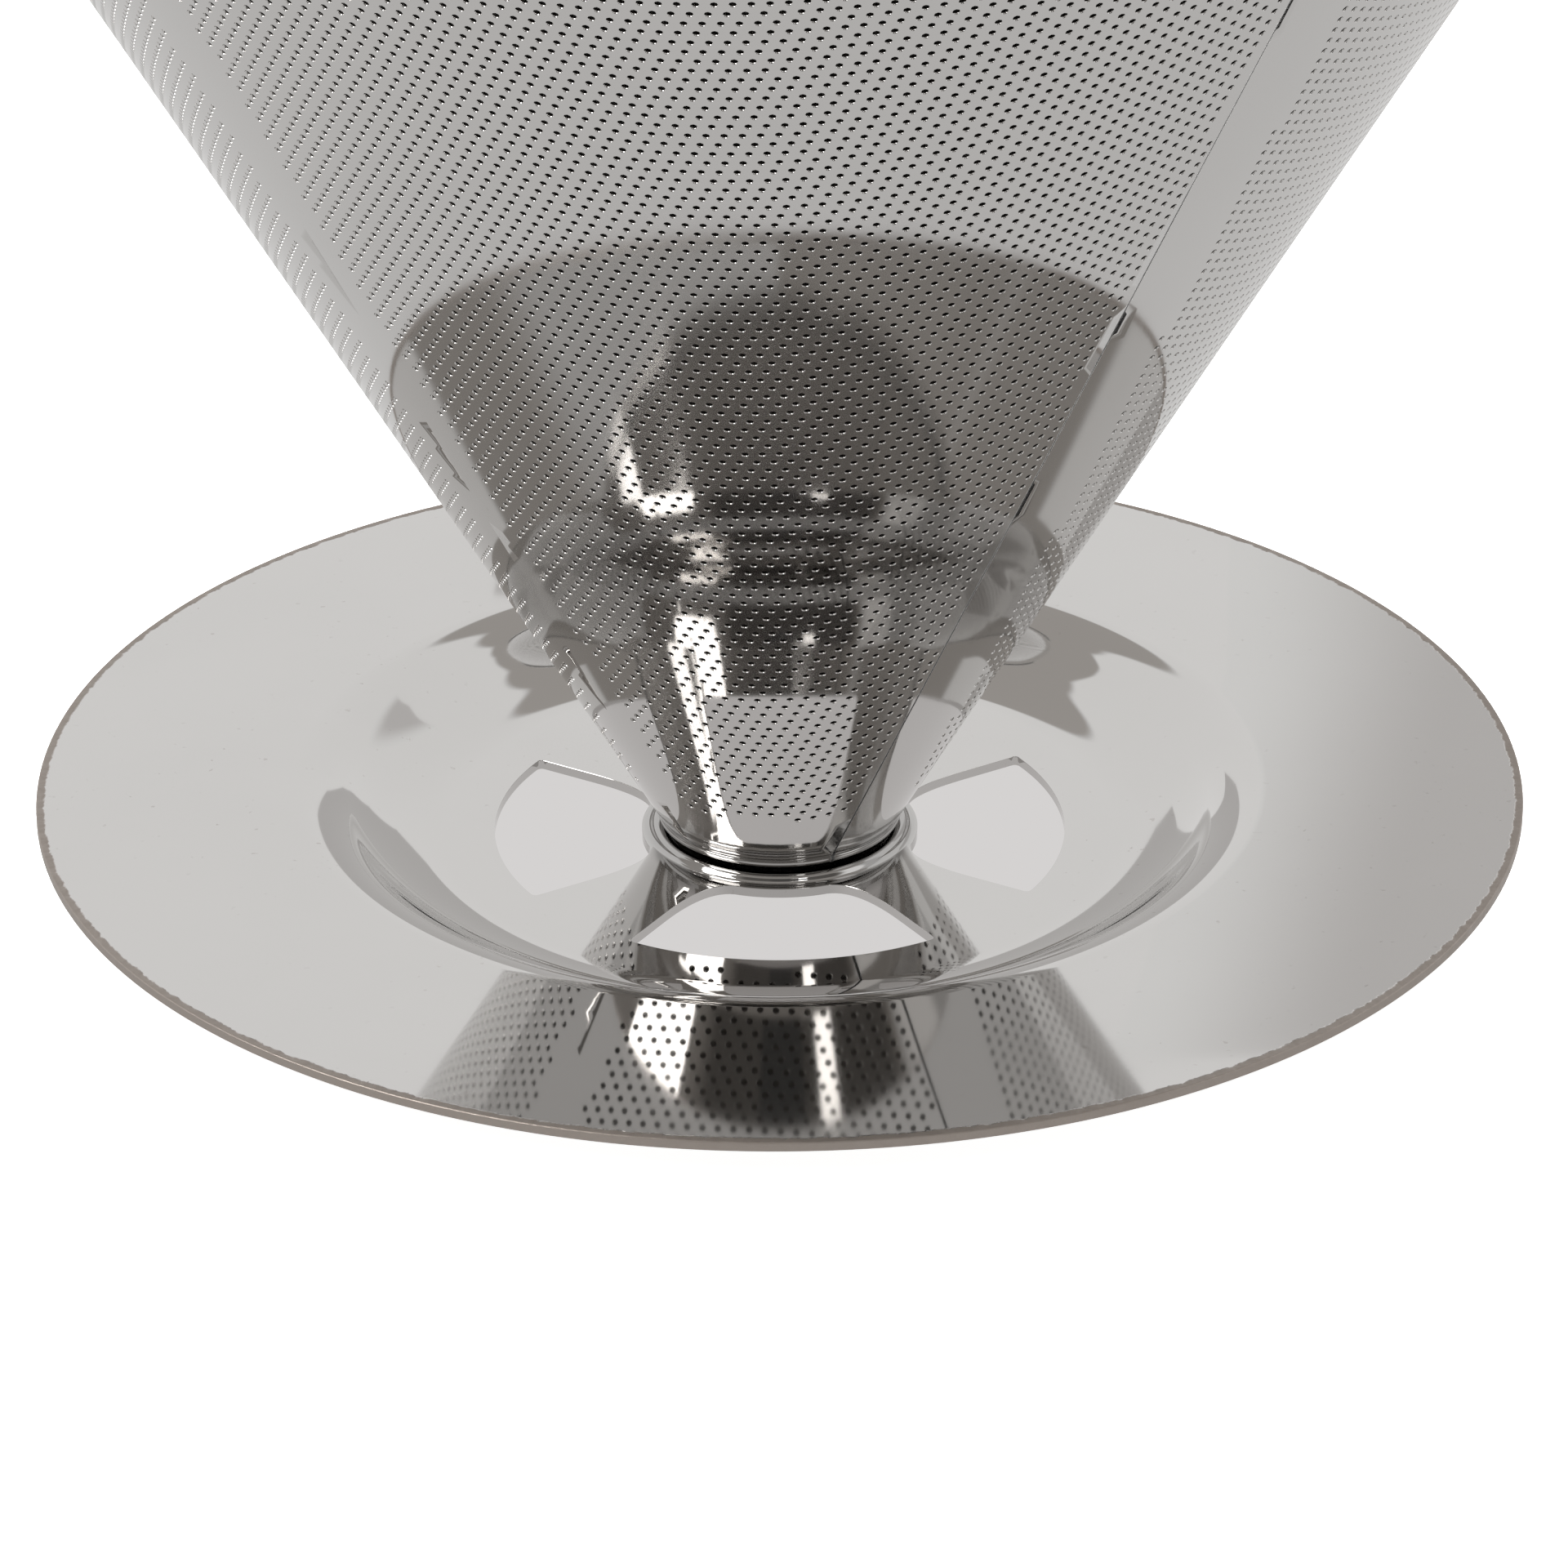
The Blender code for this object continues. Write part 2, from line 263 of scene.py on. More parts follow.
def cone_finish(colours):
    finish, graph = new_finish("cone_polished_steel")
    place = graph.place()
    clouds, hairs = polished_marks(graph, place)
    _, up, slant, turn = sheet_place(graph, place)
    beside_seam = slant * (turn - SEAM_TURN).wave() - SEAM_OFFSET
    # Painted shade: a line about 0.3 mm wide along the lap seam is painted near black, dull and not metallic;
    # the slit under it is real geometry, the darkness in it is painted.
    painted_seam_shade = beside_seam.size().step(0.00013, 0.0002, 1.0, 0.0)
    # Painted shade: the cone's foot and its bead are darkened below a height of about 3 mm.
    painted_bead_shade = (up + APEX).step(0.0027, 0.0034, 1.0, 0.0)
    colour = graph.blend(clouds * 0.3, shade(colours.steel, 1.0), shade(colours.steel, 0.95))
    colour = graph.blend(painted_bead_shade * 0.55, colour, shade(colours.steel, 0.45))
    colour = graph.blend(painted_seam_shade * 0.95, colour, shade(colours.steel, 0.03))
    rough = 0.05 + clouds * 0.03 + hairs * 0.025 + painted_seam_shade * 0.5
    waves = graph.noise(place, 70.0, 1.0)
    soft = graph.bump(waves, 0.00001)
    graph.surface(Base_Color=colour, Metallic=1.0 - painted_seam_shade, Roughness=rough, Normal=soft)
    return finish


def mesh_finish(colours):
    """Fine square weave that follows the rolled sheet, with painted shade on its outer face and a lighter, lit
    copy of the weave on its inner face.
    """
    finish, graph = new_finish("mesh_woven_steel")
    place = graph.place()
    radius, up, slant, turn = sheet_place(graph, place)
    across = slant * turn.wave()
    along = slant * (turn + QUARTER).wave()
    wire_pitch = 0.00032
    pitch = math.tau / wire_pitch
    warp = (across * pitch).wave()
    weft = (along * pitch).wave()
    weave = warp * weft
    clouds = graph.noise(place, 60.0, 3.0)
    wires = weave.size().step(0.1, 0.7)
    colour = graph.blend(wires, shade(colours.mesh, 0.45), shade(colours.mesh, 1.15))
    colour = graph.blend(clouds * 0.3, colour, shade(colours.mesh, 0.8))
    # Painted shade: the outer face, seen through the cone's holes, keeps the dark weave as shade; the inner
    # face is painted 2.6 to 4.6 times lighter, as the lit copy.
    depth = up * math.sin(CONE_SLOPE) - radius * math.cos(CONE_SLOPE)
    inside = depth.step(MESH_FRONT + 0.00005, MESH_BACK - 0.00005)
    lit_inner_face = graph.blend(wires, shade(colours.mesh, 2.6), shade(colours.mesh, 4.6))
    colour = graph.blend(inside, colour, lit_inner_face)
    rough = 0.42 - wires * 0.12 + clouds * 0.08
    graph.surface(Base_Color=colour, Metallic=0.85, Roughness=rough, Normal=graph.bump(weave, 0.00004))
    return finish


def pressed_finish(name, colour, rough):
    """Plain pressed or turned steel with circular tool marks."""
    finish, graph = new_finish(name)
    place = graph.place()
    x, y, z = graph.parts(place)
    radius = (x * x + y * y) ** 0.5
    rings = graph.noise(graph.join(radius, z * 0.2, 0.0), 5200.0, 2.0, 0.6)
    clouds = graph.noise(place, 160.0, 3.0)
    base = graph.blend(rings * 0.4, shade(colour, 1.05), shade(colour, 0.8))
    base = graph.blend(clouds.step(0.55, 0.8) * 0.4, base, shade(colour, 0.65))
    level = rough + rings * 0.08 + clouds * 0.06
    graph.surface(Base_Color=base, Metallic=1.0, Roughness=level, Normal=graph.bump(rings, 0.000015))
    return finish


def silicone_finish(colours):
    finish, graph = new_finish("washer_silicone")
    place = graph.place()
    dust = graph.noise(place, 900.0, 4.0, 0.7)
    base = graph.blend(dust.step(0.6, 0.8) * 0.35, shade(colours.silicone, 1.0), shade(colours.silicone, 2.2))
    level = 0.5 + dust * 0.15
    graph.surface(Base_Color=base, Roughness=level, Normal=graph.bump(dust, 0.00002))
    return finish


# ---------------------------------------------------------------- mesh helpers


class Skin:
    """Faces with a normal at each corner, so that curved steel reflects as one smooth surface."""

    def __init__(self):
        self.corners = []
        self.normals = []

    def add(self, corners, normals):
        self.corners.append(np.asarray(corners, float))
        self.normals.append(np.asarray(normals, float))

    def spin(self, run, segments):
        """Turns a run of (r, z) points round Z, smooth along the run. Its outer side is on its right."""
        line = np.asarray(run, float)
        tangent = np.gradient(line, axis=0)
        tangent[0] = line[1] - line[0] if len(line) < 3 else 2.0 * (line[1] - line[0]) - tangent[1]
        tangent[-1] = line[-1] - line[-2] if len(line) < 3 else 2.0 * (line[-1] - line[-2]) - tangent[-2]
        tangent /= np.linalg.norm(tangent, axis=1)[:, None]
        turns = np.arange(segments + 1) % segments * math.tau / segments
        cos, sin = np.cos(turns)[None], np.sin(turns)[None]

        def around(radial, upward):
            rows = np.broadcast_to(upward[:, None], (len(upward), len(turns)))
            return np.stack([radial[:, None] * cos, radial[:, None] * sin, rows], -1)

        def quads(grid):
            return np.stack([grid[:-1, :-1], grid[:-1, 1:], grid[1:, 1:], grid[1:, :-1]], 2).reshape(-1, 4, 3)

        points = quads(around(line[:, 0], line[:, 1]))
        normals = quads(around(tangent[:, 1], -tangent[:, 0]))
        flat_low = np.linalg.norm(points[:, 0] - points[:, 1], axis=1) < 1e-9
        flat_high = np.linalg.norm(points[:, 2] - points[:, 3], axis=1) < 1e-9
        whole = ~(flat_low | flat_high)
        for chosen, order in ((whole, [0, 1, 2, 3]), (flat_low, [0, 2, 3]), (flat_high, [0, 1, 2])):
            if chosen.any():
                self.add(points[chosen][:, order], normals[chosen][:, order])

    def mesh(self, name, finish):
        sizes = np.concatenate([np.full(len(part), part.shape[1]) for part in self.corners])
        corners = np.concatenate([part.reshape(-1, 3) for part in self.corners])
        normals = np.concatenate([part.reshape(-1, 3) for part in self.normals])
        keys, index = np.unique(np.round(corners * 1e8).astype(np.int64), axis=0, return_inverse=True)
        mesh = bpy.data.meshes.new(name)
        mesh.vertices.add(len(keys))
        mesh.vertices.foreach_set("co", (keys * 1e-8).ravel())
        mesh.loops.add(len(index))
        mesh.loops.foreach_set("vertex_index", index.ravel())
        mesh.polygons.add(len(sizes))
        mesh.polygons.foreach_set("loop_start", np.concatenate([[0], np.cumsum(sizes)[:-1]]))
        mesh.update(calc_edges=True)
        mesh.shade_smooth()
        mesh.normals_split_custom_set(normals)
        mesh.materials.append(finish)
        return mesh


def piece(name, skin, finish, body, slot, *nodes):
    """A finished piece that rides with a body and stands for the frame's nodes."""
    item = bpy.data.objects.new(name, skin.mesh(name, finish))
    bpy.context.scene.collection.objects.link(item)
    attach(item, body)
    if nodes:
        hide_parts(*nodes)
    return item


def arc(centre, radius, start, end, steps):
    """Points (r, z) on an arc, with angles in radians from +r towards +z."""
    turns = np.linspace(start, end, steps + 1)
    return [(centre[0] + radius * math.cos(a), centre[1] + radius * math.sin(a)) for a in turns]


def easy_step(start, end, steps):
    """Two equal arcs that join two levels, level at both ends."""
    width, rise = end[0] - start[0], end[1] - start[1]
    bend = 2.0 * math.atan2(abs(rise), abs(width))
    radius = abs(width) / (2.0 * math.sin(bend))
    points = []
    for i in range(2 * steps + 1):
        t = bend * (i if i <= steps else 2 * steps - i) / steps
        dx, dz = radius * math.sin(t), radius * (1.0 - math.cos(t))
        if i <= steps:
            points.append((start[0] + math.copysign(dx, width), start[1] + math.copysign(dz, rise)))
        else:
            points.append((end[0] - math.copysign(dx, width), end[1] - math.copysign(dz, rise)))
    return points


def surrounds(outline, points):
    """Whether a closed outline goes round each point."""
    inside = np.zeros(len(points), bool)
    for (x1, y1), (x2, y2) in zip(outline, np.roll(outline, -1, 0)):
        if y1 != y2:
            crossed = (y1 > points[:, 1]) != (y2 > points[:, 1])
            inside ^= crossed & (points[:, 0] < x1 + (points[:, 1] - y1) / (y2 - y1) * (x2 - x1))
    return inside


def triangulate(outlines, extra=(), rounds=()):
    """Triangles between closed outlines, the first round the others, and round holes.

    Returns points and triples.
    """
    large = len(outlines)
    outlines = [*outlines, *rounds]
    points, edges, owner = [], [], []
    for number, outline in enumerate(outlines):
        start, count = len(points), len(outline)
        edges += [(start + i, start + (i + 1) % count) for i in range(count)]
        points += [Vector(p) for p in outline]
        owner += [number] * count
    points += [Vector(p) for p in extra]
    owner += [-1] * len(extra)
    made = delaunay_2d_cdt(points, edges, [], 0, 1e-7, True)
    flat = np.array([tuple(p) for p in made[0]])
    owner = np.array([owner[ids[0]] if ids else -1 for ids in made[3]])
    faces = np.array(made[2])
    held = owner[faces]
    keep = ~((held[:, 0] == held[:, 1]) & (held[:, 1] == held[:, 2]) & (held[:, 0] >= large))
    middles = flat[faces].mean(1)
    for number, outline in enumerate(outlines[:large]):
        keep &= surrounds(np.asarray(outline), middles) == (number == 0)
    one, two = flat[faces[:, 1]] - flat[faces[:, 0]], flat[faces[:, 2]] - flat[faces[:, 0]]
    area = one[:, 0] * two[:, 1] - one[:, 1] * two[:, 0]
    faces[area < 0] = faces[area < 0][:, ::-1]
    return flat, faces[keep & (np.abs(area) > 1e-6)]


# ---------------------------------------------------------------- rolled and perforated sheet


def on_cone(height, depth):
    """Point (r, z) at a height above the foot plane and a depth in from the cone's outer face."""
    line = FOOT_RADIUS + height * math.tan(CONE_SLOPE)
    return (line - depth / math.cos(CONE_SLOPE), FOOT_PLANE + height)


def roll(flat, depth):
    """Rolls flat sheet points, in mm from the apex, on to the cone. Returns places and outward normals."""
    slant = np.hypot(flat[:, 0], flat[:, 1]) * MM
    turn = np.arctan2(flat[:, 0], flat[:, 1]) / math.sin(CONE_SLOPE)
    lean, rise = math.cos(CONE_SLOPE), math.sin(CONE_SLOPE)
    normals = np.stack([np.sin(turn) * lean, -np.cos(turn) * lean, np.full(len(turn), -rise)], -1)
    radius = slant * rise
    places = np.stack([radius * np.sin(turn), -radius * np.cos(turn), APEX + slant * lean], -1)
    return places - normals * np.reshape(depth, (-1, 1)) * MM, normals


def beside(points, line):
    """Distance in mm of flat points to the right of a line given by its direction and its offset."""
    return points[:, 0] * math.cos(line[0]) - points[:, 1] * math.sin(line[0]) - line[1]


def along_line(line, slants):
    """Flat points on a line at given distances from the apex."""
    turn = line[0] + np.arcsin(line[1] / slants)
    return np.stack([slants * np.sin(turn), slants * np.cos(turn)], -1)


def perforated_panel(sizes, left, right, margins, skew):
    """Outline, hole centres and plain points of one panel of the flat sheet, in mm."""
    low, high = sizes.sheet_start / MM, CONE_TOP_RADIUS / math.sin(CONE_SLOPE) / MM
    slants = np.linspace(low, high, 70)
    left_side, right_side = along_line(left, slants), along_line(right, slants)

    def arc_at(slant, start, end):
        turns = np.linspace(math.atan2(*start), math.atan2(*end), 91)[1:-1]
        return np.stack([slant * np.sin(turns), slant * np.cos(turns)], -1)

    top = arc_at(high, left_side[-1], right_side[-1])
    foot = arc_at(low, right_side[0], left_side[0])
    outline = np.concatenate([left_side, top, right_side[::-1], foot])
    reach = int(high * MM / sizes.pitch) + 30
    steps = np.arange(-reach, reach + 1)
    i, j = [grid.ravel() for grid in np.meshgrid(steps, steps)]
    turn = math.radians(skew)
    first = np.array([math.cos(turn + sizes.row_turn), math.sin(turn + sizes.row_turn)]) * sizes.pitch / MM
    other = turn - QUARTER - sizes.column_turn
    second = np.array([math.cos(other), math.sin(other)]) * sizes.row_pitch / MM
    lattice = i[:, None] * first + j[:, None] * second
    slant = np.hypot(lattice[:, 0], lattice[:, 1])
    from_left, from_right = beside(lattice, left), -beside(lattice, right)
    middle = (left[0] + right[0]) / 2.0
    facing = lattice[:, 0] * math.sin(middle) + lattice[:, 1] * math.cos(middle) > 0
    rim = 0.5
    inside = (slant > low + rim) & (slant < high - rim) & (from_left > rim) & (from_right > rim) & facing
    holes = inside & (from_left > margins[0]) & (from_right > margins[1])
    holes &= (slant > sizes.holes_start / MM) & (slant < high - sizes.holes_stop / MM)
    return outline, lattice[holes], lattice[inside & ~holes]


def sheet_panel(skin, sizes, left, right, margins, skew, sink):
    """One closed panel of the perforated sheet. The sink is how far its left edge lies under its neighbour."""
    outline, centres, plain = perforated_panel(sizes, left, right, margins, skew)
    sides = sizes.hole_sides
    ring = np.arange(sides) * math.tau / sides
    unit = np.stack([np.cos(ring), np.sin(ring)], -1)
    outer_hole, inner_hole = sizes.hole / 2.0 / MM, sizes.hole_throat / 2.0 / MM
    flat, faces = triangulate([outline], plain, [centre + unit * outer_hole for centre in centres])
    sheet = sizes.sheet / MM

    def depth(points):
        near = np.clip(1.0 - beside(points, left) / sizes.lap_reach * MM, 0.0, 1.0)
        return sink * near * near * (3.0 - 2.0 * near)

    count = len(outline)
    throat = flat.copy()
    owner = np.concatenate([centres[i : i + 1].repeat(sides, 0) for i in range(len(centres))])
    rings = slice(count, count + len(owner))
    throat[rings] = owner + (flat[rings] - owner) * inner_hole / outer_hole
    top, out = roll(flat, depth(flat))
    back, _ = roll(throat, depth(throat) + sheet)
    skin.add(top[faces], out[faces])
    skin.add(back[faces][:, ::-1], -out[faces])
    start = np.arange(len(centres))[:, None] * sides + count
    here = (start + np.arange(sides)).ravel()
    after = (start + (np.arange(sides) + 1) % sides).ravel()
    inward = -np.tile(unit, (len(centres), 1))
    wall, _ = roll(flat[here] + inward * 0.01, depth(flat[here]))
    aside = wall - top[here]
    aside /= np.linalg.norm(aside, axis=1)[:, None]
    lip = aside + out[here]
    lip /= np.linalg.norm(lip, axis=1)[:, None]
    by = np.full(len(flat), 0)
    by[here] = np.arange(len(here))
    quad = np.stack([top[here], top[after], back[after], back[here]], 1)
    bend = np.stack([lip, lip[by[after]], aside[by[after]], aside], 1)
    skin.add(quad, bend)
    rim, turn = np.arange(count), (np.arange(count) + 1) % count
    quad = np.stack([top[rim], top[turn], back[turn], back[rim]], 1)
    face = np.cross(quad[:, 1] - quad[:, 0], quad[:, 3] - quad[:, 0])
    face /= np.linalg.norm(face, axis=1)[:, None]
    skin.add(quad, np.repeat(face[:, None], 4, 1))


# ---------------------------------------------------------------- properties


class DripperSizes(bpy.types.PropertyGroup):
    """Sizes of the visible detail."""

    sheet: FloatProperty(
        name="Sheet", description="Thickness of the cone's sheet", default=0.00016, unit="LENGTH"
    )
    hole: FloatProperty(
        name="Hole", description="Width of a hole at the outer face", default=0.00058, unit="LENGTH"
    )
    hole_throat: FloatProperty(
        name="Hole throat", description="Width of a hole at the inner face", default=0.00050, unit="LENGTH"
    )
    hole_sides: IntProperty(name="Hole sides", description="Flats round each hole", default=8, min=5, max=12)
    pitch: FloatProperty(
        name="Pitch", description="From hole to hole in a row", default=0.001265, unit="LENGTH"
    )
    row_pitch: FloatProperty(
        name="Row pitch", description="From hole to hole across rows", default=0.001125, unit="LENGTH"
    )
    row_turn: FloatProperty(
        name="Row turn", description="Turn of the rows in the sheet", default=0.0712, unit="ROTATION"
    )
    column_turn: FloatProperty(
        name="Column turn", description="Lean of the columns", default=0.3694, unit="ROTATION"
    )
    sheet_start: FloatProperty(
        name="Sheet start", description="Slant distance from the apex to the bead",
        default=0.0199, unit="LENGTH",
    )
    holes_start: FloatProperty(
        name="Holes start", description="Slant distance from the apex to the lowest holes",
        default=0.0256, unit="LENGTH",
    )
    holes_stop: FloatProperty(
        name="Holes stop", description="Plain margin under the cone's top edge", default=0.0055, unit="LENGTH"
    )
    lap_reach: FloatProperty(
        name="Lap reach", description="Width of the dip beside the seam", default=0.003, unit="LENGTH"
    )
    hub_radius: FloatProperty(
        name="Hub", description="Radius of the hub's flat top", default=0.0099, unit="LENGTH"
    )
    hub_edge: FloatProperty(
        name="Hub edge", description="Radius where the hub's edge ends", default=0.0109, unit="LENGTH"
    )
    segments: IntProperty(
        name="Segments", description="Flats round the turned pieces", default=256, min=64, max=512
    )


class DripperColours(bpy.types.PropertyGroup):
    """Colours of the finishes."""

    steel: FloatVectorProperty(
        name="Steel", description="Polished steel",
        default=(0.573, 0.563, 0.552), subtype="COLOR", min=0.0, max=1.0,
    )
    cut_edge: FloatVectorProperty(
        name="Cut edge", description="Rough cut edge of the brim",
        default=(0.36, 0.32, 0.29), subtype="COLOR", min=0.0, max=1.0,
    )
    dark_steel: FloatVectorProperty(
        name="Plain steel", description="Fasteners and cup",
        default=(0.44, 0.42, 0.40), subtype="COLOR", min=0.0, max=1.0,
    )
    # Dark, as painted shade on the mesh seen through the cone's holes; the mesh finish paints its inner face
    # lighter.
    mesh: FloatVectorProperty(
        name="Mesh", description="Woven inner mesh",
        default=(0.10, 0.088, 0.078), subtype="COLOR", min=0.0, max=1.0,
    )
    silicone: FloatVectorProperty(
        name="Silicone", description="Washer", default=(0.035, 0.034, 0.033), subtype="COLOR", min=0.0, max=1.0
    )


class DripperStage(bpy.types.PropertyGroup):
    """Camera, floor and light."""

    lens: FloatProperty(name="Lens", description="Focal length in mm", default=163.69)
    elevation: FloatProperty(
        name="Elevation", description="Camera above level", default=math.radians(27.03), unit="ROTATION"
    )
    pan: FloatProperty(
        name="Pan", description="Camera turned to the right", default=math.radians(0.53), unit="ROTATION"
    )
    roll: FloatProperty(name="Roll", description="Camera rolled", default=math.radians(-0.22), unit="ROTATION")
    place: FloatVectorProperty(
        name="Camera", description="Camera position", default=(-0.0044, -0.5149, 0.2672), subtype="TRANSLATION"
    )
    table: FloatProperty(name="Table", description="Brightness of the table in reflections", default=0.735)
    # Painted shade: a glowing disc under the stand, dimmer than the floor, stands in for the table's shadow
    # under the stand.
    painted_shade_disc: FloatProperty(name="Paper", description="Brightness of the table under the stand", default=0.66)
    sun: FloatProperty(name="Sun", description="Strength of the soft overhead light", default=9.0)


# ---------------------------------------------------------------- stage


def glow_finish(name, colour, strength):
    finish, graph = new_finish(name)
    glow = graph.node("ShaderNodeEmission", values={"Color": colour, "Strength": strength})
    graph.node("ShaderNodeOutputMaterial", values={"Surface": glow})
    return finish


def show_to(item, camera, gloss, diffuse, shadow):
    item.visible_camera = camera
    item.visible_glossy = gloss
    item.visible_diffuse = diffuse
    item.visible_shadow = shadow
    item.visible_transmission = False


def flat_disc(name, radius, height, finish, steps=128):
    """Level disc, part of the stage."""
    skin = Skin()
    skin.spin([(radius, height), (0.0, height)], steps)
    return skin.mesh(name, finish)


def stage_item(name, mesh, sees=(False, True, False, False)):
    """An object of the stage. By default it is seen only in the steel."""
    item = bpy.data.objects.new(name, mesh)
    bpy.context.scene.collection.objects.link(item)
    show_to(item, *sees)
    return item


def light_card(name, azimuth, elevation, width, height, strength, power, distance=0.9):
    """Glowing or dark card, seen only in the steel.

    Azimuth is from the camera's side of the object, to the right. Sizes are in degrees of view from the
    foot of the cone. The power sets how square the card is.
    """
    turns = np.arange(48) * math.tau / 48
    a, e = math.radians(azimuth), math.radians(elevation)
    toward = Vector((math.sin(a) * math.cos(e), -math.cos(a) * math.cos(e), math.sin(e)))
    right = Vector((math.cos(a), math.sin(a), 0.0))
    up = toward.cross(right) * -1.0
    half_w, half_h = math.tan(math.radians(width / 2.0)), math.tan(math.radians(height / 2.0))
    points = []
    for turn in turns:
        c, s = math.cos(turn), math.sin(turn)
        u = math.copysign(abs(c) ** (2.0 / power), c) * half_w
        v = math.copysign(abs(s) ** (2.0 / power), s) * half_h
        points.append((toward + right * u + up * v) * distance + Vector((0.0, 0.0, 0.01)))
    mesh = bpy.data.meshes.new(name)
    mesh.from_pydata(points, [], [range(len(points))])
    mesh.materials.append(glow_finish(name, (1.0, 0.99, 0.98, 1.0), strength))
    stage_item(name, mesh)


def dim_card(name, outline, back, strength, fade=None):
    """Upright card close behind the object, seen only in the steel.

    It may fade in from its left edge. That edge stands at an x up to a height z and leans left above it.
    """
    mesh = bpy.data.meshes.new(name)
    mesh.from_pydata([(across, back, height) for across, height in outline], [], [range(len(outline))])
    finish, graph = new_finish(name)
    x, _, z = graph.parts(graph.place())
    shown = 1.0
    if fade:
        edge, height, lean, width = fade
        shown = (x - (edge - (z - height).most(0.0) * lean)).step(0.0, width)
    dim = (strength, strength * 0.98, strength * 0.965, 1.0)
    glow = graph.node("ShaderNodeEmission", values={"Color": graph.blend(shown, (0.98, 0.98, 0.975, 1.0), dim)})
    graph.node("ShaderNodeOutputMaterial", values={"Surface": glow})
    mesh.materials.append(finish)
    stage_item(name, mesh)


def sky(stage):
    """Soft room round the object, as the steel sees it."""
    world = bpy.data.worlds.new("soft_room")
    bpy.context.scene.world = world
    graph = Graph(world)
    way = graph.node("ShaderNodeTexCoord", output="Generated")
    x, y, z = graph.parts(way)
    azimuth = x.math("ARCTAN2", x, y) * math.degrees(1.0)
    height = z.math("ARCSINE", z) * math.degrees(1.0)
    screen_top = azimuth.step(-42.0, -2.0, 49.5, 36.0) + azimuth.step(-2.0, 34.0, 0.0, 17.0)
    screen_top = screen_top - azimuth.step(-76.0, -52.0, 12.0, 0.0) - azimuth.step(60.0, 82.0, 0.0, 7.0)
    screen = (height - screen_top).step(-0.8, 0.8, 1.0, 0.0)
    behind = azimuth.size().step(80.0, 86.0, 1.0, 0.0)
    beside = 1.0 - behind
    left_glow = azimuth.step(-60.0, -85.0, 0.0, 0.28) * height.step(58.0, 68.0)
    ceiling = 0.49 + left_glow
    right_light = azimuth.step(100.0, 106.0) * azimuth.step(122.0, 128.0, 1.0, 0.0) * 0.6
    sides = azimuth.step(-60.0, 60.0, 0.5, 0.76) + right_light
    room = azimuth.step(118.0, 132.0) + azimuth.step(-150.0, -138.0, 1.0, 0.0)
    room_level = height.step(33.5, 36.5, 0.17, 0.42)
    front = room * room_level + (1.0 - room) * sides
    near = behind + beside * front
    above = (height - 38.5).step(-1.0, 1.0) * beside
    screened = behind * screen + beside * (1.0 - above)
    level = screened * near + (1.0 - screened) * ceiling
    tint = graph.blend(level.step(0.4, 0.8), WARM, NEUTRAL)
    glow = graph.node("ShaderNodeBackground", values={"Color": tint, "Strength": level})
    graph.node("ShaderNodeOutputWorld", values={"Surface": glow})


def aim_camera(stage):
    data = bpy.data.cameras.new("camera")
    data.lens = stage.lens
    data.sensor_width = 36.0
    data.clip_start = 0.01
    data.clip_end = 100.0
    camera = bpy.data.objects.new("camera", data)
    bpy.context.scene.collection.objects.link(camera)
    e, p, r = stage.elevation, stage.pan, stage.roll
    forward = Vector((math.sin(p) * math.cos(e), math.cos(p) * math.cos(e), -math.sin(e)))
    right = forward.cross(Vector((0.0, 0.0, 1.0))).normalized()
    up = right.cross(forward)
    side = right * math.cos(r) + up * math.sin(r)
    over = up * math.cos(r) - right * math.sin(r)
    turn = Matrix((side, over, -forward)).transposed()
    camera.matrix_world = Matrix.Translation(stage.place) @ turn.to_4x4()
    bpy.context.scene.camera = camera


class DripperMakeStage(bpy.types.Operator):
    """Makes the camera, the pale floor and the soft light."""

    bl_idname = "dripper.make_stage"
    bl_label = "Stage"

    def execute(self, context):
        stage = context.scene.dripper_stage
        context.scene.view_settings.view_transform = "Standard"
        aim_camera(stage)
        sky(stage)
        wide = 6.0
        floor, graph = new_finish("pale_floor")
        tone = graph.noise(graph.place(), 6.0, 2.0)
        pale = graph.blend(tone, (0.86, 0.86, 0.855, 1.0), (0.84, 0.84, 0.84, 1.0))
        graph.surface(Base_Color=pale, Roughness=0.7, Emission_Color=pale, Emission_Strength=0.85)
        stage_item("floor", flat_disc("floor", wide, -0.0003, floor), (True, False, True, True))
        table = glow_finish("table_glow", (1.0, 0.992, 0.984, 1.0), stage.table)
        stage_item("table", flat_disc("table", wide, -0.0002, table))
        # Painted shade: this dimmer disc under the stand, seen through the drip windows, stands in for the
        # table's shadow there.
        painted_shade_disc = glow_finish("painted_shade_disc_glow", (1.0, 0.975, 0.965, 1.0), stage.painted_shade_disc)
        stage_item("painted_shade_disc", flat_disc("painted_shade_disc", 0.034, -0.0001, painted_shade_disc), (True, True, False, False))
        light = bpy.data.lights.new("sun", "SUN")
        light.energy = stage.sun
        light.angle = math.radians(80.0)
        sun = bpy.data.objects.new("sun", light)
        sun.rotation_euler = (math.radians(12.0), math.radians(-10.0), 0.0)
        sun.visible_glossy = False
        context.scene.collection.objects.link(sun)
        low = ((-0.023, 0.0), (-0.023, 0.048), (-0.029, 0.070), (-0.008, 0.073), (0.017, 0.067))
        low += ((0.044, 0.047), (0.0535, 0.030), (0.0535, 0.0))
        dim_card("low_card", low, 0.17, 0.63)
        tall = ((0.044, 0.02), (0.11, 0.02), (0.11, 0.09), (0.034, 0.09), (0.044, 0.045))
        dim_card("tall_card", tall, 0.10, 0.70, (0.044, 0.045, 0.222, 0.024))
        for name, *card in LIGHT_CARDS:
            light_card(name, *card)
        return {"FINISHED"}


# ---------------------------------------------------------------- pieces


